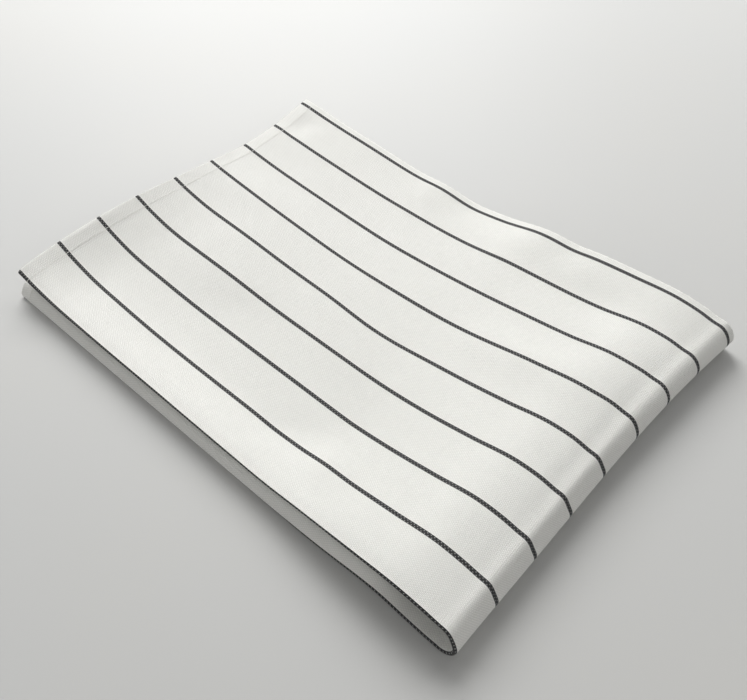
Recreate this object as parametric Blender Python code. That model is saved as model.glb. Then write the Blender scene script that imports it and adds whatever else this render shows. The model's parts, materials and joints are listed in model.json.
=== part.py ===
"""Tea towel, folded twice and lying on a table.

The towel is one rectangle of cloth. It is folded in half along its length, so that
its middle stripe runs along a crease, and then in half across, so that the pair of
leaves turns back over itself in a soft round loop. Four layers lie on each other. The
lower pair lies flat, and its upper leaf stands up like a wall behind its crease. The
upper pair rises at the loop, at the crease and at the open hems and sags between them.

+X runs from the open hems to the loop, +Y from the crease to the open selvedges, and
+Z is up. The origin lies on the table under the middle of the folded towel.
"""
import math
from collections import namedtuple

import bmesh
import bpy

# The flat towel, in metres
TOWEL_LENGTH = 0.700
TOWEL_WIDTH = 0.500
CLOTH_THICKNESS = 0.0010
HEM_WIDTH = 0.010
HEM_THICKNESS = 0.0016
HEM_STEP = 0.002

# The lengthwise fold: two leaves joined along the crease
LEAF_GAP = 0.0006
CREASE_INNER_RADIUS = 0.0008
CREASE_SPRING_LENGTH = 0.004
CREASE_DRIFT = 0.0025
CREASE_DRIFT_END = 0.300
SHOULDER_DROP = 0.0008
SHOULDER_WIDTH = 0.0045

# The lower crease lies outside the upper one, with a dent near the loop
LOWER_HEM_STEP, LOWER_LOOP_STEP = 0.0038, 0.0023
LOWER_CREASE_DENT = 0.0014
LOWER_DENT_PLACE, LOWER_DENT_LENGTH = 0.87, 0.07
CREASE_STEP_DEPTH = 0.060

# The wall that the lower pair's upper leaf makes, up to the leaf above it
WALL_LENGTH, WALL_END = 0.010, 0.060
WALL_SHARE = 0.85
WALL_LOOP_FADE = (0.015, 0.080)
LAYER_CLEARANCE = 0.0006

# The crosswise fold: how the loop bows in plan, and how the upper hem lies skew
FOLDED_LENGTH = 0.3480
LOOP_BOW = 0.0030
LOOP_BOW_SKEW = 1.6
NEAR_CORNER_REACH = 0.0015
NEAR_CORNER_WIDTH = 0.012
FAR_CORNER_REACH = 0.0015
UPPER_HEM_SKEW = 0.0030
UPPER_HEM_WAVE = 0.0022

# The origin, from the upper hem and from the upper crease
ORIGIN_FROM_HEM = 0.1723
ORIGIN_FROM_CREASE = 0.1250

# Height of the top face above the table, across the towel and along it
HEIGHT_PLACES = (0.000, 0.030, 0.120, 0.185, 0.250)
Section = namedtuple("Section", "from_loop crease inside middle outside selvedge")
UPPER_SECTIONS = (
    Section(0.000, 0.0185, 0.0180, 0.0180, 0.0190, 0.0180),
    Section(0.025, 0.0212, 0.0205, 0.0200, 0.0215, 0.0230),
    Section(0.055, 0.0200, 0.0160, 0.0145, 0.0165, 0.0220),
    Section(0.087, 0.0175, 0.0110, 0.0090, 0.0125, 0.0200),
    Section(0.118, 0.0145, 0.0070, 0.0060, 0.0090, 0.0170),
    Section(0.150, 0.0140, 0.0060, 0.0055, 0.0065, 0.0110),
    Section(0.212, 0.0135, 0.0060, 0.0058, 0.0058, 0.0085),
    Section(0.275, 0.0130, 0.0080, 0.0095, 0.0088, 0.0130),
    Section(0.308, 0.0135, 0.0105, 0.0125, 0.0115, 0.0155),
    Section(0.339, 0.0175, 0.0190, 0.0190, 0.0155, 0.0190),
)

# Soft waves of the upper pair: place, half length along and across, and height
Wave = namedtuple("Wave", "from_loop across along width height")
SOFT_WAVES = (
    Wave(0.205, 0.243, 0.016, 0.020, 0.0016),
    Wave(0.176, 0.246, 0.014, 0.016, -0.0010),
    Wave(0.128, 0.236, 0.018, 0.022, 0.0014),
    Wave(0.098, 0.246, 0.012, 0.016, -0.0012),
    Wave(0.322, 0.228, 0.010, 0.012, -0.0016),
    Wave(0.160, 0.085, 0.060, 0.022, 0.0012),
    Wave(0.262, 0.120, 0.030, 0.045, 0.0012),
    Wave(0.060, 0.153, 0.035, 0.016, 0.0030),
    Wave(0.065, 0.214, 0.040, 0.016, -0.0024),
    Wave(0.240, 0.092, 0.030, 0.018, 0.0014),
    Wave(0.305, 0.153, 0.030, 0.018, 0.0018),
    Wave(0.342, 0.060, 0.009, 0.110, 0.0016),
    Wave(0.342, 0.215, 0.010, 0.032, -0.0018),
)
WAVE_LOOP_FADE = 0.020

# Where the mesh has its rows along the cloth and its columns across it
LOWER_ROWS = (
    0.0, 0.0090, 0.0110, 0.030, 0.065, 0.100, 0.135, 0.170, 0.200, 0.225, 0.250, 0.275,
    0.300, 0.320,
)
LOOP_ROWS = 12
UPPER_ROWS = (
    0.008, 0.016, 0.025, 0.038, 0.052, 0.066, 0.080, 0.095, 0.110, 0.128, 0.148, 0.170,
    0.192, 0.212, 0.232, 0.254, 0.275, 0.291, 0.306, 0.318, 0.3250, 0.3270,
)
CREASE_COLUMNS = 6
LEAF_COLUMNS = (
    0.0015, 0.0035, 0.006, 0.009, 0.013, 0.020, 0.030, 0.045, 0.065, 0.090, 0.120, 0.140,
    0.155, 0.170, 0.185, 0.200, 0.215, 0.230, 0.240,
)

CLOTH_COLOUR = (0.80, 0.79, 0.74, 1.0)
CLOTH_ROUGHNESS = 0.9

# run counts along the folded cloth: to 1 on the lower pair, to 2 round the loop and to 3
# on the upper pair
LOWER_END, LOOP_END, UPPER_END = 1.0, 2.0, 3.0
# The inner leaf has a smaller loop to go round, so its cut ends reach out further
INNER_LEAF_LEAD = (CLOTH_THICKNESS + LEAF_GAP) * math.pi / 2
LOWEST_TOP = 4 * CLOTH_THICKNESS + 2 * LEAF_GAP + LAYER_CLEARANCE


def ease(share):
    """0 to 1 with a flat start and end."""
    share = min(max(share, 0.0), 1.0)
    return share * share * (3 - 2 * share)


def smooth_curve(places, values, place, first_slope=None):
    """The value at a place on a smooth curve through the given ones."""
    place = min(max(place, places[0]), places[-1])
    steps = [b - a for a, b in zip(places, places[1:])]
    rises = [(b - a) / step for a, b, step in zip(values, values[1:], steps)]
    slopes = [rises[0] if first_slope is None else first_slope]
    for left, right in zip(range(len(steps)), range(1, len(steps))):
        weighed = rises[left] * steps[right] + rises[right] * steps[left]
        slopes.append(weighed / (steps[left] + steps[right]))
    slopes.append(rises[-1])
    part = 0
    while part < len(steps) - 1 and place >= places[part + 1]:
        part += 1
    t = (place - places[part]) / steps[part]
    return (
        (2 * t**3 - 3 * t**2 + 1) * values[part]
        + (t**3 - 2 * t**2 + t) * steps[part] * slopes[part]
        + (3 * t**2 - 2 * t**3) * values[part + 1]
        + (t**3 - t**2) * steps[part] * slopes[part + 1]
    )


def loop_height(across):
    """Height of the round loop."""
    return smooth_curve(HEIGHT_PLACES, UPPER_SECTIONS[0][1:], max(across, 0.0))


def leaf_length():
    """Length of the lower and of the upper pair at the crease, without the loop."""
    return TOWEL_LENGTH / 2 - (loop_height(0.0) - CLOTH_THICKNESS) * math.pi / 4


def top_height(from_loop, across):
    """Height of the top face above the table, never lower than four layers need."""
    places = [section.from_loop for section in UPPER_SECTIONS]
    columns = [
        smooth_curve(places, [section[column] for section in UPPER_SECTIONS], from_loop, 0.0)
        for column in range(1, len(Section._fields))
    ]
    height = smooth_curve(HEIGHT_PLACES, columns, max(across, 0.0))
    settled = ease(from_loop / WAVE_LOOP_FADE)
    height -= settled * SHOULDER_DROP * math.exp(-((across / SHOULDER_WIDTH) ** 2))
    for wave in SOFT_WAVES:
        along_share = (from_loop - wave.from_loop) / wave.along
        across_share = (across - wave.across) / wave.width
        height += settled * wave.height * math.exp(-(along_share**2) - across_share**2)
    spare = height - LOWEST_TOP
    return LOWEST_TOP + (spare + math.hypot(spare, LAYER_CLEARANCE)) / 2


def cloth_thickness(run, lag=0.0):
    """Thickness of the cloth, more in the hems, a lag further towards the nearer cut end."""
    from_cut = min(run, UPPER_END - run) * TOWEL_LENGTH / 2 - lag
    share = ease((from_cut - HEM_WIDTH) / HEM_STEP + 0.5)
    return HEM_THICKNESS + (CLOTH_THICKNESS - HEM_THICKNESS) * share


def crease_drift(run):
    """How far the lower pair's crease has slipped off the middle of the cloth."""
    along = min(run, LOWER_END) * TOWEL_LENGTH / 2
    return CREASE_DRIFT * max(0.0, 1 - along / CREASE_DRIFT_END)


def lower_step(run):
    """How far the lower crease lies outside the upper one."""
    along = min(run, LOWER_END)
    dent = LOWER_CREASE_DENT * math.exp(-(((along - LOWER_DENT_PLACE) / LOWER_DENT_LENGTH) ** 2))
    step = LOWER_HEM_STEP + (LOWER_LOOP_STEP - LOWER_HEM_STEP) * along - dent
    return step * (1 - ease(run - LOWER_END))


def wall_rise(run, past_bend):
    """How far the lower pair's upper leaf stands up behind its crease."""
    from_loop = (LOWER_END - min(run, LOWER_END)) * leaf_length()
    fade_start, fade_end = WALL_LOOP_FADE
    rise = (top_height(from_loop, past_bend) - LOWEST_TOP) * WALL_SHARE
    rise *= ease((from_loop - fade_start) / (fade_end - fade_start))
    rise *= ease(past_bend / WALL_LENGTH)
    return rise * (1 - ease((past_bend - WALL_LENGTH) / (WALL_END - WALL_LENGTH)))


def hairpin(run, from_crease, inner_face):
    """Place across the towel, depth under the outer face, and share of the inner leaf.

    from_crease is measured along the cloth, positive on the outer leaf and negative
    on the inner one. inner_face picks the side that faces the other leaf.
    """
    thickness = cloth_thickness(run)
    outer_radius = CREASE_INNER_RADIUS + thickness
    middle_radius = CREASE_INNER_RADIUS + thickness / 2
    radius = CREASE_INNER_RADIUS if inner_face else outer_radius
    bend = middle_radius * math.pi / 2
    if abs(from_crease) < bend:
        angle = from_crease / middle_radius
        across = outer_radius - radius * math.cos(angle)
        return across, outer_radius - radius * math.sin(angle), (1 - math.sin(angle)) / 2
    past_bend = abs(from_crease) - bend
    across = outer_radius + past_bend
    if from_crease > 0:
        return across, thickness if inner_face else 0.0, 0.0
    fade = past_bend / CREASE_SPRING_LENGTH
    spring = (1 + fade) * math.exp(-fade)
    closed = thickness + LEAF_GAP + cloth_thickness(run, INNER_LEAF_LEAD)
    depth = closed + (2 * outer_radius - closed) * spring + wall_rise(run, past_bend)
    return across, depth - (thickness if inner_face else 0.0), 1.0


def folded_point(run, from_crease, inner_face):
    """One point of the cloth, on one of its two faces."""
    across, depth, inner_share = hairpin(run, from_crease, inner_face)
    loop_radius = loop_height(across) / 2
    outer_radius = loop_radius - CLOTH_THICKNESS / 2
    middle_radius = outer_radius - inner_share * (CLOTH_THICKNESS + LEAF_GAP)
    share = min(max(across / (TOWEL_WIDTH / 2), 0.0), 1.0)
    bow = FAR_CORNER_REACH * share**5 - LOOP_BOW * math.sin(math.pi * share**LOOP_BOW_SKEW)
    bow += NEAR_CORNER_REACH * math.exp(-across / NEAR_CORNER_WIDTH)
    lower_length = TOWEL_LENGTH / 2 + bow - middle_radius * math.pi / 2
    upper_length = TOWEL_LENGTH / 2 - bow - middle_radius * math.pi / 2
    centre = FOLDED_LENGTH - loop_radius + bow
    if run < LOWER_END:
        x = centre - lower_length * (1 - run)
        z = depth
    elif run <= LOOP_END:
        angle = math.pi * (run - LOWER_END)
        x = centre + (loop_radius - depth) * math.sin(angle)
        z = loop_radius - (loop_radius - depth) * math.cos(angle)
    else:
        hem = -UPPER_HEM_SKEW * share**4 - UPPER_HEM_WAVE * math.sin(2 * math.pi * share)
        outer_length = TOWEL_LENGTH / 2 - bow - outer_radius * math.pi / 2
        from_loop = (run - LOOP_END) * upper_length * (centre - hem) / outer_length
        x = centre - from_loop
        z = top_height(from_loop, across) + cloth_thickness(run) - CLOTH_THICKNESS - depth
    y = across - lower_step(run) * math.exp(-across / CREASE_STEP_DEPTH)
    return (x - ORIGIN_FROM_HEM, y - ORIGIN_FROM_CREASE, z)


def mesh_runs():
    """The rows of the mesh, from the lower hem round the loop to the upper hem."""
    lower = [row / leaf_length() for row in LOWER_ROWS]
    loop = [LOWER_END + row / LOOP_ROWS for row in range(LOOP_ROWS + 1)]
    upper = [LOOP_END + row / leaf_length() for row in UPPER_ROWS]
    return lower + loop + upper + [UPPER_END]


def mesh_columns(run):
    """The columns of the mesh, from the inner selvedge round the crease to the outer."""
    bend = (CREASE_INNER_RADIUS + cloth_thickness(run) / 2) * math.pi / 2
    drift = crease_drift(run)
    columns = [-TOWEL_WIDTH / 2 + drift]
    columns += [-bend - place for place in reversed(LEAF_COLUMNS)]
    columns += [bend * (2 * turn / CREASE_COLUMNS - 1) for turn in range(CREASE_COLUMNS + 1)]
    columns += [bend + place for place in LEAF_COLUMNS]
    return columns + [TOWEL_WIDTH / 2 + drift]


def cloth_material():
    """Matt off-white cotton."""
    material = bpy.data.materials.new("towel_cotton")
    material.use_nodes = True
    shader = material.node_tree.nodes["Principled BSDF"]
    shader.inputs["Base Color"].default_value = CLOTH_COLOUR
    shader.inputs["Roughness"].default_value = CLOTH_ROUGHNESS
    shader.inputs["Metallic"].default_value = 0.0
    return material


def towel_cloth():
    """The whole towel as one closed sheet: two faces and the rim between them."""
    model = bmesh.new()
    faces = []
    for inner_face in (False, True):
        faces.append([
            [model.verts.new(folded_point(run, place, inner_face)) for place in mesh_columns(run)]
            for run in mesh_runs()
        ])
    outer, inner = faces
    rows, columns = len(outer), len(outer[0])
    for row in range(rows - 1):
        for column in range(columns - 1):
            ring = ((row, column), (row + 1, column), (row + 1, column + 1), (row, column + 1))
            model.faces.new([outer[i][j] for i, j in ring])
            model.faces.new([inner[i][j] for i, j in reversed(ring)])
    for row in range(rows - 1):
        for column in (0, columns - 1):
            model.faces.new((outer[row][column], outer[row + 1][column],
                             inner[row + 1][column], inner[row][column]))
    for column in range(columns - 1):
        for row in (0, rows - 1):
            model.faces.new((outer[row][column], outer[row][column + 1],
                             inner[row][column + 1], inner[row][column]))
    bmesh.ops.recalc_face_normals(model, faces=model.faces)
    mesh = bpy.data.meshes.new("towel_cloth")
    model.to_mesh(mesh)
    model.free()
    mesh.materials.append(cloth_material())
    mesh.shade_smooth()
    towel = bpy.data.objects.new("towel_cloth", mesh)
    bpy.context.scene.collection.objects.link(towel)
    return towel


def main():
    for old in list(bpy.data.objects):
        bpy.data.objects.remove(old, do_unlink=True)
    towel_cloth()


main()
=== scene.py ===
"""Striped tea towel, folded twice, with its woven finish, hem stitches and selvedges.

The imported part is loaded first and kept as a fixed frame. The cloth is then made again on
the same folds as a thinner and finer sheet, dressed, and set on a pale table.

Lengths are in metres. +X runs from the open hems to the folded loop, +Y from the crease to
the open selvedges and +Z is up.
"""

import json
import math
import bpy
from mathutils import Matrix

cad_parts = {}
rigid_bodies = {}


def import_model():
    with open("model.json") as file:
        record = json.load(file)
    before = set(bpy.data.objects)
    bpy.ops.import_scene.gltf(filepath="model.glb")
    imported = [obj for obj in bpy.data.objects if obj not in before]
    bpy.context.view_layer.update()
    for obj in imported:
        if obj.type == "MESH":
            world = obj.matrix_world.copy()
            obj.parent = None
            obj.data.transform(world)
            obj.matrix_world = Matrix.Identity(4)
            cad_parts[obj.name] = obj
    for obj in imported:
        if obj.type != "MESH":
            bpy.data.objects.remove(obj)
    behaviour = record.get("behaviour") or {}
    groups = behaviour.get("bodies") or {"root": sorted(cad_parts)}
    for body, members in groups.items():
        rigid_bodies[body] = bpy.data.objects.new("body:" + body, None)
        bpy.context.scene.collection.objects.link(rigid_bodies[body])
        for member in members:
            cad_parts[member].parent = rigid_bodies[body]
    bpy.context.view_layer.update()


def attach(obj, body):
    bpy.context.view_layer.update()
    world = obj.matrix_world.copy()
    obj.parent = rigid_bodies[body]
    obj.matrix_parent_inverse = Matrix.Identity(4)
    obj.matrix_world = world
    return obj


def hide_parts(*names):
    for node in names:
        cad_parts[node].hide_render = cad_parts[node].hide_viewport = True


bl_info = {
    "name": "Folded Tea Towel",
    "version": (1, 0, 0),
    "blender": (4, 5, 0),
    "location": "3D View > Sidebar > Tea Towel",
    "description": "Makes a striped tea towel, folded twice, on a table",
    "category": "Object",
}

from collections import namedtuple

import bpy
import numpy as np
from bpy.props import (
    FloatProperty,
    FloatVectorProperty,
    IntProperty,
    PointerProperty,
)
from bpy.types import Operator, Panel, PropertyGroup
from mathutils import Matrix, Vector

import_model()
BODY = "root"
NODE = "towel_cloth"
CLOTH_PLACE = "cloth_place"

# run counts along the folded cloth: to 1 on the lower pair of leaves, which starts at its
# hem, to 2 round the loop, and to 3 on the upper pair, which ends at the other hem.
LOWER_END, LOOP_END, UPPER_END = 1.0, 2.0, 3.0

# The lengthwise crease: how fast the pair closes, and how far it wanders off the middle
CREASE_SPRING_LENGTH = 0.004
LOWER_CREASE_DRIFT = 0.0025
LOOP_CREASE_DRIFT = 0.0002
LOWER_DRIFT_FADE = (0.150, 0.310)
UPPER_DRIFT_PLACES = (0.03, 0.23, 0.60, 0.85, 1.00)
UPPER_CREASE_DRIFT = (0.0000, -0.0004, -0.0002, 0.0001, 0.0008)

# How far the lower pair's crease lies outside the upper one's, and the dent in it
LOWER_HEM_STEP, LOWER_LOOP_STEP = 0.0038, 0.0023
LOWER_CREASE_DENT = 0.0014
LOWER_DENT_PLACE, LOWER_DENT_LENGTH = 0.87, 0.07
CREASE_STEP_DEPTH = 0.060

# How far the top face drops towards its crease
CREASE_DROP, CREASE_DROP_WIDTH = 0.0008, 0.0045

# The lower pair's upper leaf rises like a wall from its crease, up to the leaf above it
WALL_LENGTH, WALL_END = 0.012, 0.060
WALL_PLACE = 0.006
STEEPEST_WALL = 0.90
WALL_SHARE = 0.92
WALL_LOOP_FADE = (0.015, 0.080)
WALL_STEPS = 60

# Air between the upper pair and the lower one where they lie closest
LAYER_CLEARANCE = 0.0006

# The crosswise fold: how the loop bows in plan, and how the upper hem lies skew
LOOP_BOW = 0.0030
LOOP_BOW_SKEW = 1.6
NEAR_CORNER_REACH = 0.0006
NEAR_CORNER_WIDTH = 0.012
FAR_CORNER_REACH, FAR_CORNER_POWER = 0.0015, 5
UPPER_HEM_SKEW, UPPER_HEM_SKEW_POWER = 0.0030, 4
UPPER_HEM_WAVE = 0.0022

# How far the top of the loop has slackened, across the towel, and from what share of its turn
LOOP_SLACK = (0.0013, 0.0017, 0.0017, 0.0004, 0.0008)
LOOP_SLACK_START = 0.36

# The origin, from the upper hem and from the upper crease
ORIGIN_FROM_HEM = 0.1723
ORIGIN_FROM_CREASE = 0.1250

# Height of the top face above the table, across the towel and along it
HEIGHT_PLACES = (0.000, 0.030, 0.120, 0.185, 0.250)
Section = namedtuple("Section", "from_loop crease inside middle outside selvedge")
UPPER_SECTIONS = (
    Section(0.000, 0.0185, 0.0180, 0.0180, 0.0190, 0.0188),
    Section(0.012, 0.0203, 0.0197, 0.0203, 0.0211, 0.0211),
    Section(0.025, 0.0214, 0.0206, 0.0204, 0.0216, 0.0227),
    Section(0.055, 0.0200, 0.0160, 0.0145, 0.0165, 0.0220),
    Section(0.087, 0.0175, 0.0110, 0.0090, 0.0125, 0.0200),
    Section(0.118, 0.0145, 0.0070, 0.0060, 0.0090, 0.0170),
    Section(0.150, 0.0140, 0.0060, 0.0055, 0.0065, 0.0110),
    Section(0.212, 0.0135, 0.0060, 0.0058, 0.0058, 0.0085),
    Section(0.275, 0.0130, 0.0080, 0.0095, 0.0088, 0.0130),
    Section(0.308, 0.0135, 0.0105, 0.0125, 0.0115, 0.0155),
    Section(0.339, 0.0175, 0.0190, 0.0190, 0.0155, 0.0190),
)

# Soft troughs and ridges of the upper pair: place, half length, half width and height
Crease = namedtuple("Crease", "from_loop across length width height")
SOFT_CREASES = (
    Crease(0.205, 0.243, 0.016, 0.020, 0.0016),
    Crease(0.176, 0.246, 0.014, 0.016, -0.0010),
    Crease(0.128, 0.236, 0.018, 0.022, 0.0014),
    Crease(0.098, 0.246, 0.012, 0.016, -0.0012),
    Crease(0.322, 0.228, 0.010, 0.012, -0.0016),
    Crease(0.160, 0.085, 0.060, 0.022, 0.0012),
    Crease(0.262, 0.120, 0.030, 0.045, 0.0012),
    Crease(0.060, 0.153, 0.035, 0.016, 0.0030),
    Crease(0.065, 0.214, 0.040, 0.016, -0.0024),
    Crease(0.240, 0.092, 0.030, 0.018, 0.0014),
    Crease(0.305, 0.153, 0.030, 0.018, 0.0018),
    Crease(0.103, 0.030, 0.013, 0.014, 0.0016),
    Crease(0.142, 0.032, 0.012, 0.014, -0.0010),
    Crease(0.145, 0.122, 0.030, 0.020, -0.0009),
    Crease(0.342, 0.060, 0.009, 0.110, 0.0016),
    Crease(0.342, 0.215, 0.010, 0.032, -0.0018),
    Crease(0.347, 0.150, 0.006, 0.028, -0.0018),
)

# From nothing at the loop, the soft creases and the crease's drop reach their full size here
SETTLED_FROM_LOOP = 0.020

# Where the cloth is sheared sideways: place, half length, half width, and shift
Shear = namedtuple("Shear", "from_loop across length width shift")
SHEARS = (
    Shear(0.148, 0.124, 0.032, 0.022, -0.0024),
    Shear(0.195, 0.168, 0.035, 0.025, -0.0014),
    Shear(0.235, 0.032, 0.060, 0.016, -0.0008),
    Shear(0.004, 0.153, 0.014, 0.013, 0.0020),
    Shear(0.001, 0.183, 0.012, 0.012, 0.0013),
)

# Rows and columns of the cloth's mesh, and how far its cut edges bulge for their thickness
HEM_ROWS = (
    0.0, 0.0005, 0.0015, 0.003, 0.0045, 0.006, 0.0073,
    0.0082, 0.009, 0.0098, 0.0107, 0.012, 0.014,
)
LOWER_ROWS = 55
LOOP_ROWS = 24
UPPER_ROWS = 146
CREASE_COLUMNS = 14
NEAR_COLUMNS = (0.0006, 0.0014, 0.0025, 0.004, 0.006, 0.0085, 0.0115)
OUTER_COLUMNS = 80
INNER_COLUMNS = 46
EDGE_COLUMN = 0.0008
RIM_BULGE = 0.35

# The hems: over what length they thin out, and what share of that shows on the top face
HEM_STEP = 0.0035
HEM_RAISED_SHARE = 0.6

# Stitches: how far from the cut end they lie, and how far each one slants
STITCH_INSET, STITCH_SLANT = 0.0090, 0.00012
# Half of one in stitch lengths, its lift and sag in thread sizes, and how much its ends taper
STITCH_HALF_LENGTH = 0.44
STITCH_LIFT, STITCH_SAG, STITCH_TAPER = 0.10, 0.40, 0.35

# The weft's turns at the selvedges, in sizes of their yarn, and how they vary along an edge
TURN_REACH, TURN_INSET, TURN_UNEVENNESS = 0.55, 0.35, 0.18
TURN_WAVES = 5100.0

# Places along a strand: the digits kept of them, and the step that finds its direction there
STRAND_DIGITS, STRAND_STEP = 4, 0.02

# The weave: warp threads in a stripe and from stripe to stripe, and how the wefts wander
WARPS_PER_STRIPE = 4
WARPS_PER_PITCH = 50
WEFT_WOBBLE_SCALE, WEFT_WOBBLE = 90.0, 0.9

# Yarn tone: thick and thin places, in noise features for each metre, and mottling
SLUBS_ALONG_YARN = 45.0
WARP_SLUBS, WARP_SLUB_LAYER = 1400.0, 0.0
WEFT_SLUBS, WEFT_SLUB_LAYER = 950.0, 3.0
MOTTLE_SCALE, MOTTLE_SHARE = 160.0, 0.8
MEAN_TONE = 1.4

# How much painted shade darkens the cotton in the threads' dips and where the warps lie on top, how
# much the tone shades it, and how much the three lift it
COTTON_BRIGHTNESS = 1.11
DIP_PAINTED_SHADE, WARP_PAINTED_SHADE, TONE_SHADE = -0.16, -0.20, 0.05
WARP_RELIEF, TONE_RELIEF = -0.45, 0.20
WEAVE_DEPTH = 0.00034
COTTON_SHEEN, COTTON_SHEEN_ROUGHNESS = 0.12, 0.6
DULL_SPECULAR = 0.25

# How clearly the white weft shows in a dark stripe: at most a little over half white, partly because
# its floats are small and partly as painted shade on the recessed weft
FLECK_GAIN, FLECK_START = 1.5, -0.95

# Loose yarn: its tone and its twist
YARN_TONE_SHADE = 0.08
TWIST_SCALE, TWIST_DEPTH = 2600.0, 0.0001

# The table's two tints, and the size of its clouds of them
COOL_TINT, WARM_TINT = (0.985, 0.995, 1.005), (1.015, 1.005, 0.985)
TABLE_CLOUDS = 5.0

# The camera sees nothing nearer than this
NEAREST_SEEN = 0.01


class TowelCloth(PropertyGroup):
    """Sizes of the flat cloth and of its folds"""

    length: FloatProperty(
        name="Length", description="Flat length, along the stripes",
        default=0.700, unit="LENGTH",
    )
    width: FloatProperty(
        name="Width", description="Flat width, from selvedge to selvedge",
        default=0.500, unit="LENGTH",
    )
    thickness: FloatProperty(
        name="Cloth Thickness", description="Thickness of one layer",
        default=0.0007, unit="LENGTH",
    )
    layer_gap: FloatProperty(
        name="Layer Gap", description="Air between the two leaves of a pair",
        default=0.0006, unit="LENGTH",
    )
    hem_width: FloatProperty(
        name="Hem Width", description="Depth of the hems at the cut ends",
        default=0.010, unit="LENGTH",
    )
    hem_thickness: FloatProperty(
        name="Hem Thickness", description="Thickness of the turned and sewn hems",
        default=0.0009, unit="LENGTH",
    )
    folded_length: FloatProperty(
        name="Folded Length", description="From the upper hem to the loop",
        default=0.348, unit="LENGTH",
    )
    crease_radius: FloatProperty(
        name="Crease Radius", description="Outer radius of the lengthwise crease",
        default=0.0012, unit="LENGTH",
    )


class TowelWeave(PropertyGroup):
    """Threads, stripes and colours of the cotton"""

    stripes: IntProperty(
        name="Stripes", description="Dark stripes over the whole width",
        default=17, min=2,
    )
    stripe_margin: FloatProperty(
        name="Stripe Margin", description="From a selvedge to the middle of the last stripe",
        default=0.0055, unit="LENGTH",
    )
    pick_spacing: FloatProperty(
        name="Pick Spacing", description="From one weft thread to the next",
        default=0.00102, unit="LENGTH",
    )
    white: FloatVectorProperty(
        name="White Yarn", description="Colour of the ground",
        default=(0.80, 0.795, 0.755), subtype="COLOR",
    )
    dark: FloatVectorProperty(
        name="Dark Yarn", description="Colour of the stripes",
        default=(0.020, 0.020, 0.021), subtype="COLOR",
    )


class TowelSewing(PropertyGroup):
    """Sizes of the stitches and of the weft's turns"""

    stitch_length: FloatProperty(
        name="Stitch Length", description="From one needle hole to the next",
        default=0.0030, unit="LENGTH",
    )
    thread: FloatProperty(
        name="Thread", description="Thickness of the sewing thread",
        default=0.00036, unit="LENGTH",
    )
    edge_yarn: FloatProperty(
        name="Edge Yarn", description="Thickness of the weft where it turns back",
        default=0.0006, unit="LENGTH",
    )


class TowelStudio(PropertyGroup):
    """The table, the lights and the camera"""

    table_colour: FloatVectorProperty(
        name="Table Colour", description="Colour of the table top",
        default=(0.48, 0.48, 0.47), subtype="COLOR",
    )
    table_size: FloatProperty(
        name="Table Size", description="Side of the table top",
        default=6.0, unit="LENGTH",
    )
    key_power: FloatProperty(
        name="Key Light", description="Power of the light behind at the left", default=54.0
    )
    back_power: FloatProperty(
        name="Back Light", description="Power of the light behind", default=10.0
    )
    left_power: FloatProperty(
        name="Left Light", description="Power of the light at the left", default=13.0
    )
    right_power: FloatProperty(
        name="Right Light", description="Power of the light at the right", default=8.0
    )
    corner_power: FloatProperty(
        name="Corner Light", description="Power of the light in front at the right", default=7.5
    )
    front_power: FloatProperty(
        name="Front Light", description="Power of the low light in front", default=8.0
    )
    camera_place: FloatVectorProperty(
        name="Camera Place", description="Where the camera stands",
        default=(0.2571, -0.2590, 0.3809), subtype="XYZ", unit="LENGTH",
    )
    camera_azimuth: FloatProperty(
        name="Camera Azimuth", description="Turn of the view from +Y towards -X",
        default=math.radians(43.72), subtype="ANGLE",
    )
    camera_elevation: FloatProperty(
        name="Camera Elevation", description="How far the view looks down",
        default=math.radians(48.36), subtype="ANGLE",
    )
    camera_roll: FloatProperty(
        name="Camera Roll", description="Tilt of the picture",
        default=math.radians(-1.23), subtype="ANGLE",
    )
    camera_lens: FloatProperty(
        name="Camera Lens", description="Focal length in millimetres", default=41.76
    )


def ease(share):
    """0 to 1 with a flat start and end."""
    share = np.clip(share, 0.0, 1.0)
    return share * share * (3 - 2 * share)


def smooth_curve(places, values, place, first_slope=None):
    """The values at many places on a smooth curve through the given ones."""
    place = np.clip(place, places[0], places[-1])
    steps = [b - a for a, b in zip(places, places[1:])]
    rises = [(b - a) / step for a, b, step in zip(values, values[1:], steps)]
    slopes = [rises[0] if first_slope is None else first_slope]
    for left in range(len(steps) - 1):
        weighed = rises[left] * steps[left + 1] + rises[left + 1] * steps[left]
        slopes.append(weighed / (steps[left] + steps[left + 1]))
    slopes.append(rises[-1])
    curve = None
    for part, step in enumerate(steps):
        t = np.clip((place - places[part]) / step, 0.0, 1.0)
        piece = (
            (2 * t**3 - 3 * t**2 + 1) * values[part]
            + (t**3 - 2 * t**2 + t) * step * slopes[part]
            + (3 * t**2 - 2 * t**3) * values[part + 1]
            + (t**3 - t**2) * step * slopes[part + 1]
        )
        curve = piece if curve is None else np.where(place >= places[part], piece, curve)
    return curve


def loop_height(across):
    """Height of the round loop."""
    return smooth_curve(HEIGHT_PLACES, UPPER_SECTIONS[0][1:], np.maximum(across, 0.0))


def lowest_top(cloth):
    """Height of four layers that lie close."""
    return 4 * cloth.thickness + 2 * cloth.layer_gap + LAYER_CLEARANCE


def nearness(spot, from_loop, across):
    """1 in the middle of a soft crease or shear, fading to 0 around it."""
    along = (from_loop - spot.from_loop) / spot.length
    aside = (across - spot.across) / spot.width
    return np.exp(-(along**2) - aside**2)


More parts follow.
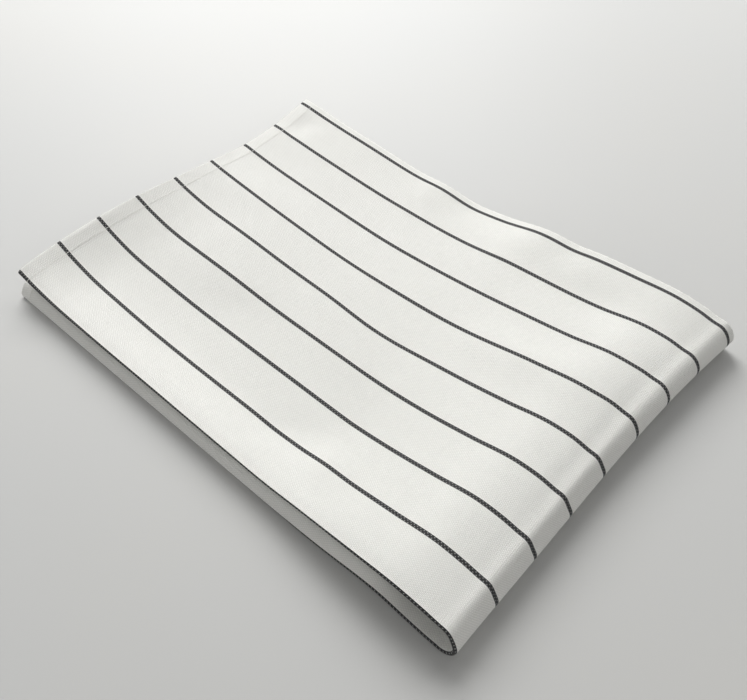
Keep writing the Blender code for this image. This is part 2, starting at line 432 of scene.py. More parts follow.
def top_height(cloth, from_loop, across):
    """Height of the top face above the table."""
    places = [section.from_loop for section in UPPER_SECTIONS]
    columns = [
        smooth_curve(places, [section[column] for section in UPPER_SECTIONS], from_loop, 0.0)
        for column in range(1, len(Section._fields))
    ]
    height = smooth_curve(HEIGHT_PLACES, columns, np.maximum(across, 0.0))
    settled = ease(from_loop / SETTLED_FROM_LOOP)
    height = height - settled * CREASE_DROP * np.exp(-((across / CREASE_DROP_WIDTH) ** 2))
    for crease in SOFT_CREASES:
        height = height + settled * crease.height * nearness(crease, from_loop, across)
    # A soft lower limit keeps the upper pair clear of the lower one
    spare = height - lowest_top(cloth)
    return lowest_top(cloth) + (spare + np.sqrt(spare**2 + LAYER_CLEARANCE**2)) / 2


def sideways(from_loop, across):
    """How far the sheared cloth lies to the side of its straight place."""
    shift = np.zeros(np.broadcast(from_loop, across).shape)
    for shear in SHEARS:
        shift = shift + shear.shift * nearness(shear, from_loop, across)
    return shift


def cloth_thickness(cloth, run, further=0.0):
    """Thickness of one layer, more in the hems, which may reach a little further in."""
    from_cut = np.minimum(run, UPPER_END - run) * cloth.length / 2 - further
    hem = ease((cloth.hem_width - from_cut) / HEM_STEP + 0.5)
    return cloth.thickness + (cloth.hem_thickness - cloth.thickness) * hem


def crease_drift(cloth, run):
    """How far each crease lies off the middle of the cloth."""
    along = np.minimum(run, LOWER_END) * cloth.length / 2
    fade_start, fade_end = LOWER_DRIFT_FADE
    fade = ease((along - fade_start) / (fade_end - fade_start))
    lower = LOWER_CREASE_DRIFT + (LOOP_CREASE_DRIFT - LOWER_CREASE_DRIFT) * fade
    lower = lower * (1 - ease(run - LOWER_END))
    return lower + smooth_curve(UPPER_DRIFT_PLACES, UPPER_CREASE_DRIFT, run - LOOP_END, 0.0)


def wall_profile():
    """Slope, rise and draw-in of a wall as steep as can be, along its cloth."""
    past = np.linspace(0.0, WALL_LENGTH, WALL_STEPS + 1)
    slope = 1 - (past / WALL_LENGTH) ** 2
    # What the slope draws in is 1 - sqrt(1 - slope**2), here as the first terms of its series
    drawn_in = slope**2 / 2 + slope**4 / 8
    totals = []
    for value in (slope, drawn_in):
        totals.append(np.concatenate([[0.0], np.cumsum(value[1:] + value[:-1]) * past[1] / 2]))
    return past, slope, *totals


def wall_from_loop(cloth, run):
    """How far from the loop a row of the lower pair lies."""
    lower = cloth.length / 2 - loop_height(0.0) * math.pi / 4
    return (1 - np.clip(run, 0.0, LOWER_END)) * lower


def wall_steepness(cloth, run):
    """Slope of the lower pair's upper leaf where it leaves its crease."""
    from_loop = wall_from_loop(cloth, run)
    room = top_height(cloth, from_loop, WALL_PLACE) - lowest_top(cloth)
    fade_start, fade_end = WALL_LOOP_FADE
    fade = ease((from_loop - fade_start) / (fade_end - fade_start))
    _, _, rise, _ = wall_profile()
    return np.minimum(WALL_SHARE * room * fade / rise[-1], STEEPEST_WALL)


def wall(cloth, run, past_bend):
    """Slope, rise and draw-in of the lower pair's upper leaf behind its crease."""
    from_loop = wall_from_loop(cloth, run)
    room = top_height(cloth, from_loop, WALL_PLACE) - lowest_top(cloth)
    room_here = top_height(cloth, from_loop, past_bend) - lowest_top(cloth)
    past, slope, rise, draw = wall_profile()
    steepness = wall_steepness(cloth, run)
    settle = np.clip(room_here / room, 0.0, 1.0)
    settle = settle * (1 - ease((past_bend - WALL_LENGTH) / (WALL_END - WALL_LENGTH)))
    return (
        steepness * np.interp(past_bend, past, slope),
        steepness * np.interp(past_bend, past, rise) * settle,
        steepness**2 * np.interp(past_bend, past, draw),
    )


def lower_step(run):
    """How far the lower crease lies outside the upper one."""
    along = np.clip(run, 0.0, LOWER_END)
    dent = LOWER_CREASE_DENT * np.exp(-(((along - LOWER_DENT_PLACE) / LOWER_DENT_LENGTH) ** 2))
    step = LOWER_HEM_STEP + (LOWER_LOOP_STEP - LOWER_HEM_STEP) * along - dent
    return step * (1 - ease(run - LOWER_END))


def crease_bends(cloth, run, middle_radius):
    """Length of the crease's round bend on the outer leaf's side and on the inner leaf's."""
    lean = np.arcsin(wall_steepness(cloth, run))
    return middle_radius * math.pi / 2, middle_radius * (math.pi / 2 - lean)


def hairpin(cloth, run, from_crease, thickness, inner_face):
    """Place across the towel, depth under the outer face, and share of the inner leaf."""
    outer_radius = cloth.crease_radius + thickness - cloth.thickness
    middle_radius = outer_radius - thickness / 2
    under = thickness if inner_face else np.zeros_like(thickness)
    radius = outer_radius - under
    outer_bend, inner_bend = crease_bends(cloth, run, middle_radius)
    angle = np.clip(from_crease, -inner_bend, outer_bend) / middle_radius
    past_bend = np.where(from_crease > 0, from_crease - outer_bend, -from_crease - inner_bend)
    past_bend = np.maximum(past_bend, 0.0)
    fade = past_bend / CREASE_SPRING_LENGTH
    # The inner leaf takes a shorter way round the loop, so its hems reach further in
    lead = (cloth.thickness + cloth.layer_gap) * math.pi / 2
    closed = thickness + cloth.layer_gap + cloth_thickness(cloth, run, lead)
    steepness = wall_steepness(cloth, run)
    bend_depth = outer_radius * (1 + np.sqrt(1 - steepness**2))
    open_depth = closed + (bend_depth - closed) * (1 + fade) * np.exp(-fade)
    slope, rise, draw = wall(cloth, run, past_bend)
    inner_across = outer_radius * (1 - steepness) + past_bend - draw + under * slope
    inner_depth = open_depth + rise - under * np.sqrt(1 - slope**2)
    in_bend = (from_crease < outer_bend) & (from_crease > -inner_bend)
    leaf_across = np.where(from_crease > 0, outer_radius + past_bend, inner_across)
    leaf_depth = np.where(from_crease > 0, under, inner_depth)
    across = np.where(in_bend, outer_radius - radius * np.cos(angle), leaf_across)
    depth = np.where(in_bend, outer_radius - radius * np.sin(angle), leaf_depth)
    round_angle = np.clip(from_crease / middle_radius, -math.pi / 2, math.pi / 2)
    inner_share = (1 - np.sin(round_angle)) / 2
    return across, depth, inner_share


def leaf_lengths(cloth, across, inner_share):
    """Cloth in the lower leaf, the loop and the upper leaf, and the loop's bow in plan."""
    share = np.clip(across / (cloth.width / 2), 0.0, 1.0)
    far_corner = FAR_CORNER_REACH * share**FAR_CORNER_POWER
    bow = far_corner - LOOP_BOW * np.sin(math.pi * share**LOOP_BOW_SKEW)
    bow = bow + NEAR_CORNER_REACH * np.exp(-np.maximum(across, 0.0) / NEAR_CORNER_WIDTH)
    outer_radius = (loop_height(across) - cloth.thickness) / 2
    radius = outer_radius - inner_share * (cloth.thickness + cloth.layer_gap)
    loop = radius * math.pi
    lower = cloth.length / 2 + bow - loop / 2
    return lower, loop, cloth.length - lower - loop, bow


def fold(cloth, run, from_crease, inner_face):
    """Places of points of the folded cloth, and how far along the flat cloth they are."""
    run, from_crease = np.broadcast_arrays(np.asarray(run, float), np.asarray(from_crease, float))
    thickness = cloth_thickness(cloth, run)
    across, depth, inner_share = hairpin(cloth, run, from_crease, thickness, inner_face)
    lower, loop, upper, bow = leaf_lengths(cloth, across, inner_share)
    share = np.clip(across / (cloth.width / 2), 0.0, 1.0)
    outer_radius = loop_height(across) / 2
    centre = cloth.folded_length - outer_radius + bow
    hem = -UPPER_HEM_SKEW * share**UPPER_HEM_SKEW_POWER
    hem = hem - UPPER_HEM_WAVE * np.sin(2 * math.pi * share)
    from_loop = np.maximum(run - LOOP_END, 0.0) * (centre - hem)
    turn = np.clip(run - LOWER_END, 0.0, 1.0)
    angle = math.pi * turn
    slack = smooth_curve(HEIGHT_PLACES, LOOP_SLACK, np.maximum(across, 0.0))
    slackened = np.clip((turn - LOOP_SLACK_START) / (1 - LOOP_SLACK_START), 0.0, 1.0)
    radius = outer_radius - depth - slack * np.sin(math.pi * slackened) ** 2
    on_lower, on_upper = run < LOWER_END, run > LOOP_END
    x = np.where(on_lower, centre - lower * (1 - run), centre + radius * np.sin(angle))
    x = np.where(on_upper, centre - from_loop, x)
    z = np.where(on_lower, depth, outer_radius - radius * np.cos(angle))
    raised = HEM_RAISED_SHARE * (thickness - cloth.thickness)
    z = np.where(on_upper, top_height(cloth, from_loop, across) + raised - depth, z)
    y = across - lower_step(run) * np.exp(-across / CREASE_STEP_DEPTH)
    y = y + ease(run - LOWER_END) * sideways(from_loop, across)
    along = np.where(on_lower, run * lower, lower + loop * np.clip(run - LOWER_END, 0.0, 1.0))
    along = np.where(on_upper, lower + loop + upper * (run - LOOP_END), along)
    places = np.stack([x - ORIGIN_FROM_HEM, y - ORIGIN_FROM_CREASE, z], -1)
    return places, along


def run_at(cloth, along, from_crease):
    """The run of points a given length along the flat cloth."""
    inner_share = np.where(from_crease > 0, 0.0, 1.0)
    lower, loop, upper, _ = leaf_lengths(cloth, np.abs(from_crease), inner_share)
    run = np.where(along < lower, along / lower, LOWER_END + (along - lower) / loop)
    return np.where(along > lower + loop, LOOP_END + (along - lower - loop) / upper, run)


def mesh_runs(cloth):
    """The rows of the cloth's mesh."""
    leaf = cloth.length / 2 - (loop_height(0.0) - cloth.thickness) * math.pi / 4
    hem = np.array(HEM_ROWS) / leaf
    lower = np.linspace(hem[-1], LOWER_END, LOWER_ROWS + 1)
    loop = np.linspace(LOWER_END, LOOP_END, LOOP_ROWS + 1)
    upper = np.linspace(LOOP_END, UPPER_END - hem[-1], UPPER_ROWS + 1)
    return np.concatenate([hem[:-1], lower[:-1], loop[:-1], upper[:-1], (UPPER_END - hem)[::-1]])


def mesh_columns(cloth, run):
    """The columns of the cloth's mesh on one row, from the inner selvedge to the outer."""
    middle_radius = cloth.crease_radius - cloth.thickness + cloth_thickness(cloth, run) / 2
    outer_bend, inner_bend = crease_bends(cloth, run, middle_radius)
    drift = crease_drift(cloth, run)
    outer_near = outer_bend + np.array(NEAR_COLUMNS)
    inner_near = inner_bend + np.array(NEAR_COLUMNS)
    outer_edge, inner_edge = cloth.width / 2 + drift, cloth.width / 2 - drift
    outer = np.linspace(outer_near[-1], outer_edge - EDGE_COLUMN, OUTER_COLUMNS)
    inner = np.linspace(inner_near[-1], inner_edge - EDGE_COLUMN, INNER_COLUMNS)
    crease = np.linspace(-inner_bend, outer_bend, CREASE_COLUMNS + 1)
    return np.concatenate([
        [-inner_edge], -inner[::-1], -inner_near[-2::-1], crease, outer_near[:-1], outer, [outer_edge],
    ])


def select_only(*pieces):
    """Deselects everything but the given objects."""
    for other in bpy.context.scene.objects:
        other.select_set(False)
    for piece in pieces:
        piece.select_set(True)
        bpy.context.view_layer.objects.active = piece


def mesh_piece(name, places, faces, material, coordinates=None):
    """A new smooth object from arrays of vertices and faces."""
    mesh = bpy.data.meshes.new(name)
    mesh.from_pydata(places.tolist(), [], faces)
    if coordinates is not None:
        corners = np.zeros(len(mesh.loops), np.int32)
        mesh.loops.foreach_get("vertex_index", corners)
        layer = mesh.uv_layers.new(name=CLOTH_PLACE)
        layer.uv.foreach_set("vector", coordinates[corners].astype(np.float32).ravel())
    mesh.materials.append(material)
    mesh.shade_smooth()
    piece = bpy.data.objects.new(name, mesh)
    bpy.context.scene.collection.objects.link(piece)
    return piece


def feed(tree, socket, value):
    """Links another node's socket to this one, or sets it to a plain value."""
    if isinstance(value, bpy.types.NodeSocket):
        tree.links.new(value, socket)
    else:
        socket.default_value = value


def math_node(tree, operation, *values):
    """A Math node fed by sockets or plain numbers; returns its output."""
    node = tree.nodes.new("ShaderNodeMath")
    node.operation = operation
    for socket, value in zip(node.inputs, values):
        feed(tree, socket, value)
    return node.outputs[0]


def noise_node(tree, place, scale, detail):
    """A Noise Texture over the given place; returns its value."""
    node = tree.nodes.new("ShaderNodeTexNoise")
    node.inputs["Scale"].default_value = scale
    node.inputs["Detail"].default_value = detail
    tree.links.new(place, node.inputs["Vector"])
    return node.outputs["Fac"]


def mix_colours(tree, share, first, second):
    """A colour mix fed by sockets or plain colours; returns its output."""
    node = tree.nodes.new("ShaderNodeMix")
    node.data_type = "RGBA"
    for key, value in (("Factor_Float", share), ("A_Color", first), ("B_Color", second)):
        feed(tree, next(found for found in node.inputs if found.identifier == key), value)
    return next(found for found in node.outputs if found.identifier == "Result_Color")


def scaled_colour(tree, colour, scale):
    """A plain colour made lighter or darker by a socket; returns its output."""
    node = tree.nodes.new("ShaderNodeVectorMath")
    node.operation = "SCALE"
    node.inputs[0].default_value = colour
    tree.links.new(scale, node.inputs["Scale"])
    return node.outputs[0]


def combine(tree, x, y, z):
    """A vector of three values."""
    node = tree.nodes.new("ShaderNodeCombineXYZ")
    for socket, value in zip(node.inputs, (x, y, z)):
        feed(tree, socket, value)
    return node.outputs[0]


def bump_normal(tree, height, distance):
    """The normal of a Bump node over a height."""
    node = tree.nodes.new("ShaderNodeBump")
    node.inputs["Distance"].default_value = distance
    tree.links.new(height, node.inputs["Height"])
    return node.outputs["Normal"]


def new_group(name, inputs, outputs):
    """An empty shader node group with its sockets and its two end nodes."""
    tree = bpy.data.node_groups.new(name, "ShaderNodeTree")
    for socket, kind in inputs:
        tree.interface.new_socket(socket, in_out="INPUT", socket_type=kind)
    for socket, kind in outputs:
        tree.interface.new_socket(socket, in_out="OUTPUT", socket_type=kind)
    return tree, tree.nodes.new("NodeGroupInput"), tree.nodes.new("NodeGroupOutput")


def plain_weave_group():
    """Threads that pass over and under each other, from places counted in threads."""
    number = "NodeSocketFloat"
    tree, given, result = new_group(
        "plain_weave",
        [("Warp Count", number), ("Weft Count", number)],
        [("Height", number), ("Weft Up", number), ("Warp Up", number)],
    )
    warp, weft = (
        math_node(tree, "SINE", math_node(tree, "MULTIPLY", given.outputs[count], math.pi))
        for count in ("Warp Count", "Weft Count")
    )
    product = math_node(tree, "MULTIPLY", warp, weft)
    height = math_node(tree, "SQRT", math_node(tree, "ABSOLUTE", product))
    weft_up = math_node(tree, "MAXIMUM", math_node(tree, "MULTIPLY", product, -1.0), 0.0)
    warp_up = math_node(tree, "MAXIMUM", product, 0.0)
    tree.links.new(height, result.inputs["Height"])
    tree.links.new(weft_up, result.inputs["Weft Up"])
    tree.links.new(warp_up, result.inputs["Warp Up"])
    return tree


def yarn_tone_group():
    """Thick and thin places of yarn, and the soft mottling of washed cotton."""
    number, vector = "NodeSocketFloat", "NodeSocketVector"
    tree, given, result = new_group("yarn_tone", [("Place", vector)], [("Tone", number)])
    parts = tree.nodes.new("ShaderNodeSeparateXYZ")
    tree.links.new(given.outputs["Place"], parts.inputs[0])
    along, across = parts.outputs[0], parts.outputs[1]
    slubs = []
    for along_scale, across_scale, layer in (
        (SLUBS_ALONG_YARN, WARP_SLUBS, WARP_SLUB_LAYER),
        (WEFT_SLUBS, SLUBS_ALONG_YARN, WEFT_SLUB_LAYER),
    ):
        yarn_x = math_node(tree, "MULTIPLY", along, along_scale)
        yarn_y = math_node(tree, "MULTIPLY", across, across_scale)
        slubs.append(noise_node(tree, combine(tree, yarn_x, yarn_y, layer), scale=1.0, detail=2.0))
    mottle = noise_node(tree, given.outputs["Place"], scale=MOTTLE_SCALE, detail=3.0)
    mottle = math_node(tree, "MULTIPLY", mottle, MOTTLE_SHARE)
    tone = math_node(tree, "ADD", math_node(tree, "ADD", *slubs), mottle)
    tree.links.new(math_node(tree, "SUBTRACT", tone, MEAN_TONE), result.inputs["Tone"])
    return tree


def group_node(tree, name, maker):
    """A node of a shared group, which is built the first time."""
    node = tree.nodes.new("ShaderNodeGroup")
    node.node_tree = bpy.data.node_groups.get(name) or maker()
    return node


def new_material(name, roughness):
    """A material with its Principled BSDF."""
    material = bpy.data.materials.new(name)
    material.use_nodes = True
    tree = material.node_tree
    shader = next(node for node in tree.nodes if node.type == "BSDF_PRINCIPLED")
    shader.inputs["Roughness"].default_value = roughness
    shader.inputs["Specular IOR Level"].default_value = DULL_SPECULAR
    return material, tree, shader


def striped_cotton(weave, cloth):
    """Plain-weave cotton with thin dark warp stripes, on the cloth's own flat coordinates."""
    material, tree, shader = new_material("striped_cotton", roughness=0.88)
    place = tree.nodes.new("ShaderNodeUVMap")
    place.uv_map = CLOTH_PLACE
    parts = tree.nodes.new("ShaderNodeSeparateXYZ")
    tree.links.new(place.outputs[0], parts.inputs[0])
    along, across = parts.outputs[0], parts.outputs[1]
    pitch = (cloth.width - 2 * weave.stripe_margin) / (weave.stripes - 1)
    warp_spacing = pitch / WARPS_PER_PITCH
    from_stripe = math_node(tree, "WRAP", across, pitch / 2, -pitch / 2)
    warps = math_node(tree, "DIVIDE", from_stripe, warp_spacing)
    in_stripe = math_node(tree, "LESS_THAN", math_node(tree, "ABSOLUTE", warps), WARPS_PER_STRIPE / 2)
    # Inside a stripe the warps lie in pairs, which count as one
    warp_share = math_node(tree, "MULTIPLY_ADD", in_stripe, -0.5, 1.0)
    warp_count = math_node(tree, "MULTIPLY", warps, warp_share)
    wobble = noise_node(tree, place.outputs[0], scale=WEFT_WOBBLE_SCALE, detail=1.0)
    wobble = math_node(tree, "SUBTRACT", wobble, 0.5)
    straight_wefts = math_node(tree, "DIVIDE", along, weave.pick_spacing)
    weft_count = math_node(tree, "MULTIPLY_ADD", wobble, WEFT_WOBBLE, straight_wefts)
    threads = group_node(tree, "plain_weave", plain_weave_group)
    tree.links.new(warp_count, threads.inputs["Warp Count"])
    tree.links.new(weft_count, threads.inputs["Weft Count"])
    tone = group_node(tree, "yarn_tone", yarn_tone_group)
    tree.links.new(place.outputs[0], tone.inputs["Place"])

    # The white weft shows through a stripe where it passes over a pair of dark warps, greyed partly by
    # painted shade on the recessed weft
    fleck = math_node(tree, "MULTIPLY_ADD", threads.outputs["Weft Up"], FLECK_GAIN, FLECK_START)
    fleck = math_node(tree, "MAXIMUM", fleck, 0.0)
    dark_share = math_node(tree, "MULTIPLY", in_stripe, math_node(tree, "SUBTRACT", 1.0, fleck))
    # Painted shade: the white ground is darker in the dips between the threads and where the warps lie
    # on top
    dip = math_node(tree, "SUBTRACT", 1.0, threads.outputs["Height"])
    shade = math_node(tree, "MULTIPLY_ADD", dip, DIP_PAINTED_SHADE, COTTON_BRIGHTNESS)
    shade = math_node(tree, "MULTIPLY_ADD", threads.outputs["Warp Up"], WARP_PAINTED_SHADE, shade)
    shade = math_node(tree, "MULTIPLY_ADD", tone.outputs["Tone"], TONE_SHADE, shade)
    ground = scaled_colour(tree, weave.white, shade)
    colour = mix_colours(tree, dark_share, ground, (*weave.dark, 1.0))
    tree.links.new(colour, shader.inputs["Base Color"])
    shader.inputs["Sheen Weight"].default_value = COTTON_SHEEN
    shader.inputs["Sheen Roughness"].default_value = COTTON_SHEEN_ROUGHNESS
    height = threads.outputs["Height"]
    relief = math_node(tree, "MULTIPLY_ADD", threads.outputs["Warp Up"], WARP_RELIEF, height)
    relief = math_node(tree, "MULTIPLY_ADD", tone.outputs["Tone"], TONE_RELIEF, relief)
    tree.links.new(bump_normal(tree, relief, WEAVE_DEPTH), shader.inputs["Normal"])
    return material


def white_yarn(weave, name):
    """Sewing thread and the weft's turns: twisted white cotton."""
    material, tree, shader = new_material(name, roughness=0.8)
    place = tree.nodes.new("ShaderNodeTexCoord").outputs["Object"]
    tone = group_node(tree, "yarn_tone", yarn_tone_group)
    tree.links.new(place, tone.inputs["Place"])
    shade = math_node(tree, "MULTIPLY_ADD", tone.outputs["Tone"], YARN_TONE_SHADE, 1.0)
    tree.links.new(scaled_colour(tree, weave.white, shade), shader.inputs["Base Color"])
    twist = noise_node(tree, place, scale=TWIST_SCALE, detail=2.0)
    tree.links.new(bump_normal(tree, twist, TWIST_DEPTH), shader.inputs["Normal"])
    return material


def sheet_faces(rows, columns):
    """Quads of two grids of points and of the rounded rim that joins them."""
    grid = np.arange(rows * columns).reshape(rows, columns)
    corners = [grid[:-1, :-1], grid[1:, :-1], grid[1:, 1:], grid[:-1, 1:]]
    outer = np.stack(corners, -1).reshape(-1, 4)
    inner = np.stack(corners[::-1], -1).reshape(-1, 4) + grid.size
    border = np.concatenate([grid[0, :-1], grid[:-1, -1], grid[-1, :0:-1], grid[:0:-1, 0]])
    rim = 2 * grid.size + np.arange(len(border))
    following = np.roll(np.arange(len(border)), -1)
    above = np.stack([border, border[following], rim[following], rim], -1)
    below = np.stack([rim, rim[following], border[following] + grid.size, border + grid.size], -1)
    return np.concatenate([outer, inner, above, below]), border


def neighbour_inside(rows, columns, border):
    """For each point of the border, the grid point one step further in."""
    row, column = np.divmod(border, columns)
    return np.clip(row, 1, rows - 2) * columns + np.clip(column, 1, columns - 2)


def rounded_rim(outer, inner, border, inward):
    """Points round the sheet's edge, a little outside the middle of its thickness."""
    middle = (outer[border] + inner[border]) / 2
    away = middle - (outer[inward] + inner[inward]) / 2
    away /= np.linalg.norm(away, axis=1, keepdims=True)
    thick = np.linalg.norm(outer[border] - inner[border], axis=1, keepdims=True)
    return middle + away * thick * RIM_BULGE


def fold_cloth(cloth, weave):
    """The whole folded towel as one thin closed sheet."""
    runs = mesh_runs(cloth)
    from_crease = np.stack([mesh_columns(cloth, run) for run in runs])
    run_grid = np.broadcast_to(runs[:, None], from_crease.shape)
    outer, along = fold(cloth, run_grid, from_crease, False)
    inner, inner_along = fold(cloth, run_grid, from_crease, True)
    across = from_crease - crease_drift(cloth, run_grid)
    rows, columns = run_grid.shape
    faces, border = sheet_faces(rows, columns)
    outer, inner = outer.reshape(-1, 3), inner.reshape(-1, 3)
    rim = rounded_rim(outer, inner, border, neighbour_inside(rows, columns, border))
    flat = np.concatenate([
        np.stack([along, across], -1).reshape(-1, 2),
        np.stack([inner_along, across], -1).reshape(-1, 2),
    ])
    return mesh_piece(
        "folded_cloth",
        np.concatenate([outer, inner, rim]),
        faces.tolist(),
        striped_cotton(weave, cloth),
        np.concatenate([flat, flat[border]]),
    )


def model_strand(sides, cuts):
    """A short round strand from -1 to 1 along X, modelled once and copied."""
    select_only()
    bpy.ops.mesh.primitive_cylinder_add(
        vertices=sides, radius=1.0, depth=2.0, rotation=(0, math.pi / 2, 0)
    )
    strand = bpy.context.active_object
    bpy.ops.object.transform_apply(location=False, rotation=True, scale=False)
    bpy.ops.object.mode_set(mode="EDIT")
    for cut in range(1, cuts):
        bpy.ops.mesh.select_all(action="SELECT")
        bpy.ops.mesh.bisect(plane_co=(2 * cut / cuts - 1, 0, 0), plane_no=(1, 0, 0))
    bpy.ops.object.mode_set(mode="OBJECT")
    mesh = strand.data
    places = np.zeros(len(mesh.vertices) * 3)
    mesh.vertices.foreach_get("co", places)
    faces = [list(face.vertices) for face in mesh.polygons]
    bpy.data.objects.remove(strand, do_unlink=True)
    bpy.data.meshes.remove(mesh)
    return places.reshape(-1, 3), faces


def lay_strands(strand, faces, route, radius):
    """Copies of one strand along many short routes.

    route(place) gives the middle line of every copy at a place from -1 to 1, and its up
    direction there. radius(place) is the strand's thickness along itself.
    """
    frames = {}
    for place in sorted({round(float(x), STRAND_DIGITS) for x in strand[:, 0]}):
        centre, up = route(place)
        ahead, _ = route(min(place + STRAND_STEP, 1.0))
        behind, _ = route(max(place - STRAND_STEP, -1.0))
        onward = ahead - behind
        onward /= np.linalg.norm(onward, axis=1, keepdims=True)
        side = np.cross(up, onward)
        side /= np.linalg.norm(side, axis=1, keepdims=True)
        frames[place] = centre, side, np.cross(onward, side)
    copies = []
    for x, y, z in strand:
        place = round(float(x), STRAND_DIGITS)
        centre, side, lift = frames[place]
        copies.append(centre + (side * y + lift * z) * radius(place))
    copies = np.stack(copies, 1)
    count, size = copies.shape[:2]
    faces = [[corner + copy * size for corner in face] for copy in range(count) for face in faces]
    return copies.reshape(-1, 3), faces


def face_and_up(cloth, along, across, right_side):
    """Places on one side of the cloth, and the direction that points out of it."""
    run = run_at(cloth, along, across)
    from_crease = across + crease_drift(cloth, run)
    outer, _ = fold(cloth, run, from_crease, False)
    inner, _ = fold(cloth, run, from_crease, True)
    up = outer - inner if right_side else inner - outer
    return (outer if right_side else inner), up / np.linalg.norm(up, axis=1, keepdims=True)


def joined(parts):
    """Places and faces of many meshes as those of one."""
    places, faces, shift = [], [], 0
    for part_places, part_faces in parts:
        places.append(part_places)
        faces += [[corner + shift for corner in face] for face in part_faces]
        shift += len(part_places)
    return np.concatenate(places), faces


def stitch_row(cloth, sewing, strand, along, right_side):
    """Places and faces of one hem's stitches on one side of the cloth."""
    ends = cloth.width / 2 - sewing.stitch_length
    middles = np.linspace(-ends, ends, round(2 * ends / sewing.stitch_length))

    def route(place):
        across = middles + sewing.stitch_length * STITCH_HALF_LENGTH * place
        slanted = np.full_like(across, along) + STITCH_SLANT * place
        at, up = face_and_up(cloth, slanted, across, right_side)
        middle = at + up * sewing.thread * (STITCH_LIFT - STITCH_SAG * place**4)
        # The lowest hem's stitches are pressed flat against the table
        middle[:, 2] = np.maximum(middle[:, 2], sewing.thread / 2)
        return middle, up

    def radius(place):
        return sewing.thread / 2 * (1 - STITCH_TAPER * place**4)

    return lay_strands(*strand, route, radius)


def sew_hems(cloth, weave, sewing):
    """Both hems' stitches, on both sides of the cloth, as one joined mesh."""
    strand = model_strand(sides=6, cuts=6)
    rows = [
        stitch_row(cloth, sewing, strand, along, right_side)
        for along in (STITCH_INSET, cloth.length - STITCH_INSET)
        for right_side in (True, False)
    ]
    return mesh_piece("hem_stitches", *joined(rows), white_yarn(weave, "sewing_thread"))


def turn_row(cloth, weave, sewing, strand, edge):
    """Places and faces of the wefts' turns along one selvedge."""
    spacing = 2 * weave.pick_spacing
    count = round((cloth.length - 2 * cloth.hem_width) / spacing)
    middles = cloth.hem_width + spacing * (np.arange(count) + 0.5)
    unevenness = TURN_UNEVENNESS * np.sin(middles * TURN_WAVES)

    def route(place):
        along = middles + 0.5 * spacing * place
        right, up = face_and_up(cloth, along, np.full_like(along, edge), True)
        wrong, _ = face_and_up(cloth, along, np.full_like(along, edge), False)
        reach = TURN_REACH * (1 - place**2) - TURN_INSET + unevenness
        middle = (right + wrong) / 2
        middle[:, 1] += sewing.edge_yarn * reach
        return middle, up

    def radius(place):
        return sewing.edge_yarn / 2

    return lay_strands(*strand, route, radius)


def turn_wefts(cloth, weave, sewing):
    """The wefts' turns along both selvedges, as one joined mesh."""
    strand = model_strand(sides=5, cuts=6)
    rows = [
        turn_row(cloth, weave, sewing, strand, edge)
        for edge in (-cloth.width / 2, cloth.width / 2)
    ]
    return mesh_piece("selvedge_loops", *joined(rows), white_yarn(weave, "selvedge_yarn"))


class TOWEL_OT_fold_cloth(Operator):
    """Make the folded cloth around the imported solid"""

    bl_idname = "towel.fold_cloth"
    bl_label = "Fold Cloth"

    def execute(self, context):
        scene = context.scene
        piece = fold_cloth(scene.towel_cloth, scene.towel_weave)
        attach(piece, BODY)
        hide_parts(NODE)
        return {"FINISHED"}


class TOWEL_OT_sew_hems(Operator):
    """Lay the hem stitches on the folded cloth"""

    bl_idname = "towel.sew_hems"
    bl_label = "Sew Hems"

    def execute(self, context):
        scene = context.scene
        piece = sew_hems(scene.towel_cloth, scene.towel_weave, scene.towel_sewing)
        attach(piece, BODY)
        return {"FINISHED"}


class TOWEL_OT_finish_selvedges(Operator):
    """Turn the weft threads back along both selvedges"""

    bl_idname = "towel.finish_selvedges"
    bl_label = "Finish Selvedges"

    def execute(self, context):
        scene = context.scene
        cloth = scene.towel_cloth
        piece = turn_wefts(cloth, scene.towel_weave, scene.towel_sewing)
        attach(piece, BODY)
        return {"FINISHED"}


def table_material(studio):
    """Smooth pale grey table top."""
    material, tree, shader = new_material("pale_table", roughness=0.55)
    place = tree.nodes.new("ShaderNodeTexCoord").outputs["Object"]
    cloud = noise_node(tree, place, scale=TABLE_CLOUDS, detail=3.0)
    cool, warm = (
        (*(level * share for level, share in zip(studio.table_colour, tint)), 1.0)
        for tint in (COOL_TINT, WARM_TINT)
    )
    tree.links.new(mix_colours(tree, cloud, cool, warm), shader.inputs["Base Color"])
    return material


def area_light(name, power, size, place):
    """A large square light that faces the towel."""
    light = bpy.data.lights.new(name, "AREA")
    light.energy = power
    light.size = size
    lamp = bpy.data.objects.new(name, light)
    lamp.location = place
    lamp.rotation_euler = (-Vector(place)).to_track_quat("-Z", "Y").to_euler()
    bpy.context.scene.collection.objects.link(lamp)


def stand_camera(studio):
    """The camera, turned to its azimuth, elevation and roll."""
    camera = bpy.data.cameras.new("camera")
    camera.lens = studio.camera_lens
    camera.clip_start = NEAREST_SEEN
    holder = bpy.data.objects.new("camera", camera)
    turn = Matrix.Rotation(studio.camera_azimuth, 4, "Z")
    tip = Matrix.Rotation(math.pi / 2 - studio.camera_elevation, 4, "X")
    roll = Matrix.Rotation(studio.camera_roll, 4, "Z")
    holder.matrix_world = Matrix.Translation(studio.camera_place) @ turn @ tip @ roll
    bpy.context.scene.collection.objects.link(holder)
    bpy.context.scene.camera = holder


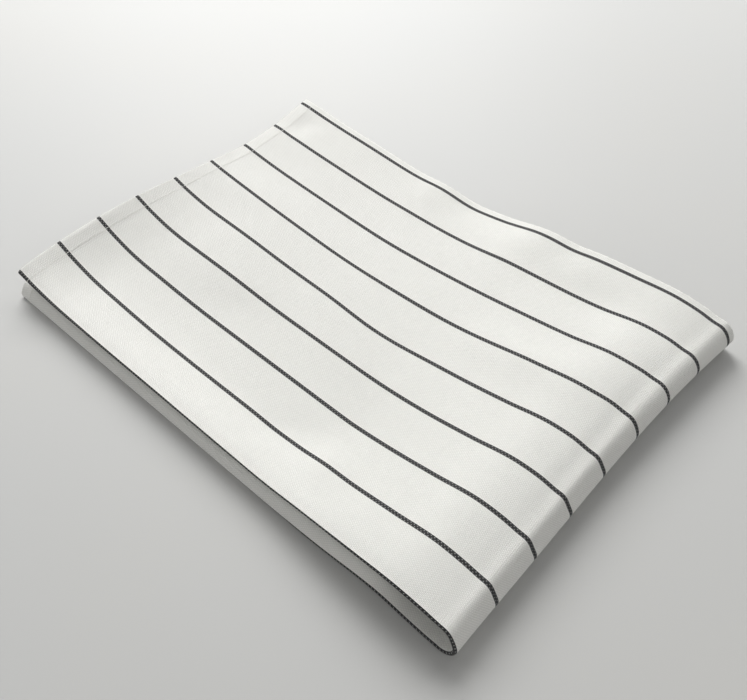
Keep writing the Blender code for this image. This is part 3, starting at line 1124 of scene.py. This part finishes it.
class TOWEL_OT_set_stage(Operator):
    """Set the table, the lights and the camera"""

    bl_idname = "towel.set_stage"
    bl_label = "Set Stage"

    def execute(self, context):
        scene = context.scene
        studio = scene.towel_studio
        select_only()
        bpy.ops.mesh.primitive_plane_add(size=studio.table_size, location=(0, 0, 0))
        table = context.active_object
        table.name = "table_top"
        table.data.materials.append(table_material(studio))
        area_light("key_light", studio.key_power, size=1.2, place=(-1.20, 1.00, 1.20))
        area_light("back_light", studio.back_power, size=1.2, place=(0.0, 1.60, 1.10))
        area_light("left_light", studio.left_power, size=1.4, place=(-1.80, -0.30, 0.90))
        area_light("right_light", studio.right_power, size=1.4, place=(1.80, 0.30, 0.90))
        area_light("corner_light", studio.corner_power, size=1.4, place=(1.20, -1.00, 1.10))
        area_light("front_light", studio.front_power, size=0.9, place=(-0.30, -1.80, 0.20))
        scene.view_settings.view_transform = "Standard"
        stand_camera(studio)
        return {"FINISHED"}


class TOWEL_PT_panel(Panel):
    """The towel's sizes, colours and steps"""

    bl_label = "Tea Towel"
    bl_idname = "TOWEL_PT_panel"
    bl_space_type = "VIEW_3D"
    bl_region_type = "UI"
    bl_category = "Tea Towel"

    def draw(self, context):
        scene = context.scene
        for settings, steps in (
            (scene.towel_cloth, ("towel.fold_cloth",)),
            (scene.towel_weave, ()),
            (scene.towel_sewing, ("towel.sew_hems", "towel.finish_selvedges")),
            (scene.towel_studio, ("towel.set_stage",)),
        ):
            box = self.layout.box()
            for name in settings.__annotations__:
                box.prop(settings, name)
            for step in steps:
                box.operator(step)


CLASSES = (
    TowelCloth,
    TowelWeave,
    TowelSewing,
    TowelStudio,
    TOWEL_OT_fold_cloth,
    TOWEL_OT_sew_hems,
    TOWEL_OT_finish_selvedges,
    TOWEL_OT_set_stage,
    TOWEL_PT_panel,
)


def register():
    for cls in CLASSES:
        bpy.utils.register_class(cls)
    bpy.types.Scene.towel_cloth = PointerProperty(type=TowelCloth)
    bpy.types.Scene.towel_weave = PointerProperty(type=TowelWeave)
    bpy.types.Scene.towel_sewing = PointerProperty(type=TowelSewing)
    bpy.types.Scene.towel_studio = PointerProperty(type=TowelStudio)


def unregister():
    del bpy.types.Scene.towel_studio
    del bpy.types.Scene.towel_sewing
    del bpy.types.Scene.towel_weave
    del bpy.types.Scene.towel_cloth
    for cls in reversed(CLASSES):
        bpy.utils.unregister_class(cls)


def main():
    """Makes the towel and its stage."""
    register()
    bpy.ops.towel.fold_cloth()
    bpy.ops.towel.sew_hems()
    bpy.ops.towel.finish_selvedges()
    bpy.ops.towel.set_stage()


if __name__ == "__main__":
    main()
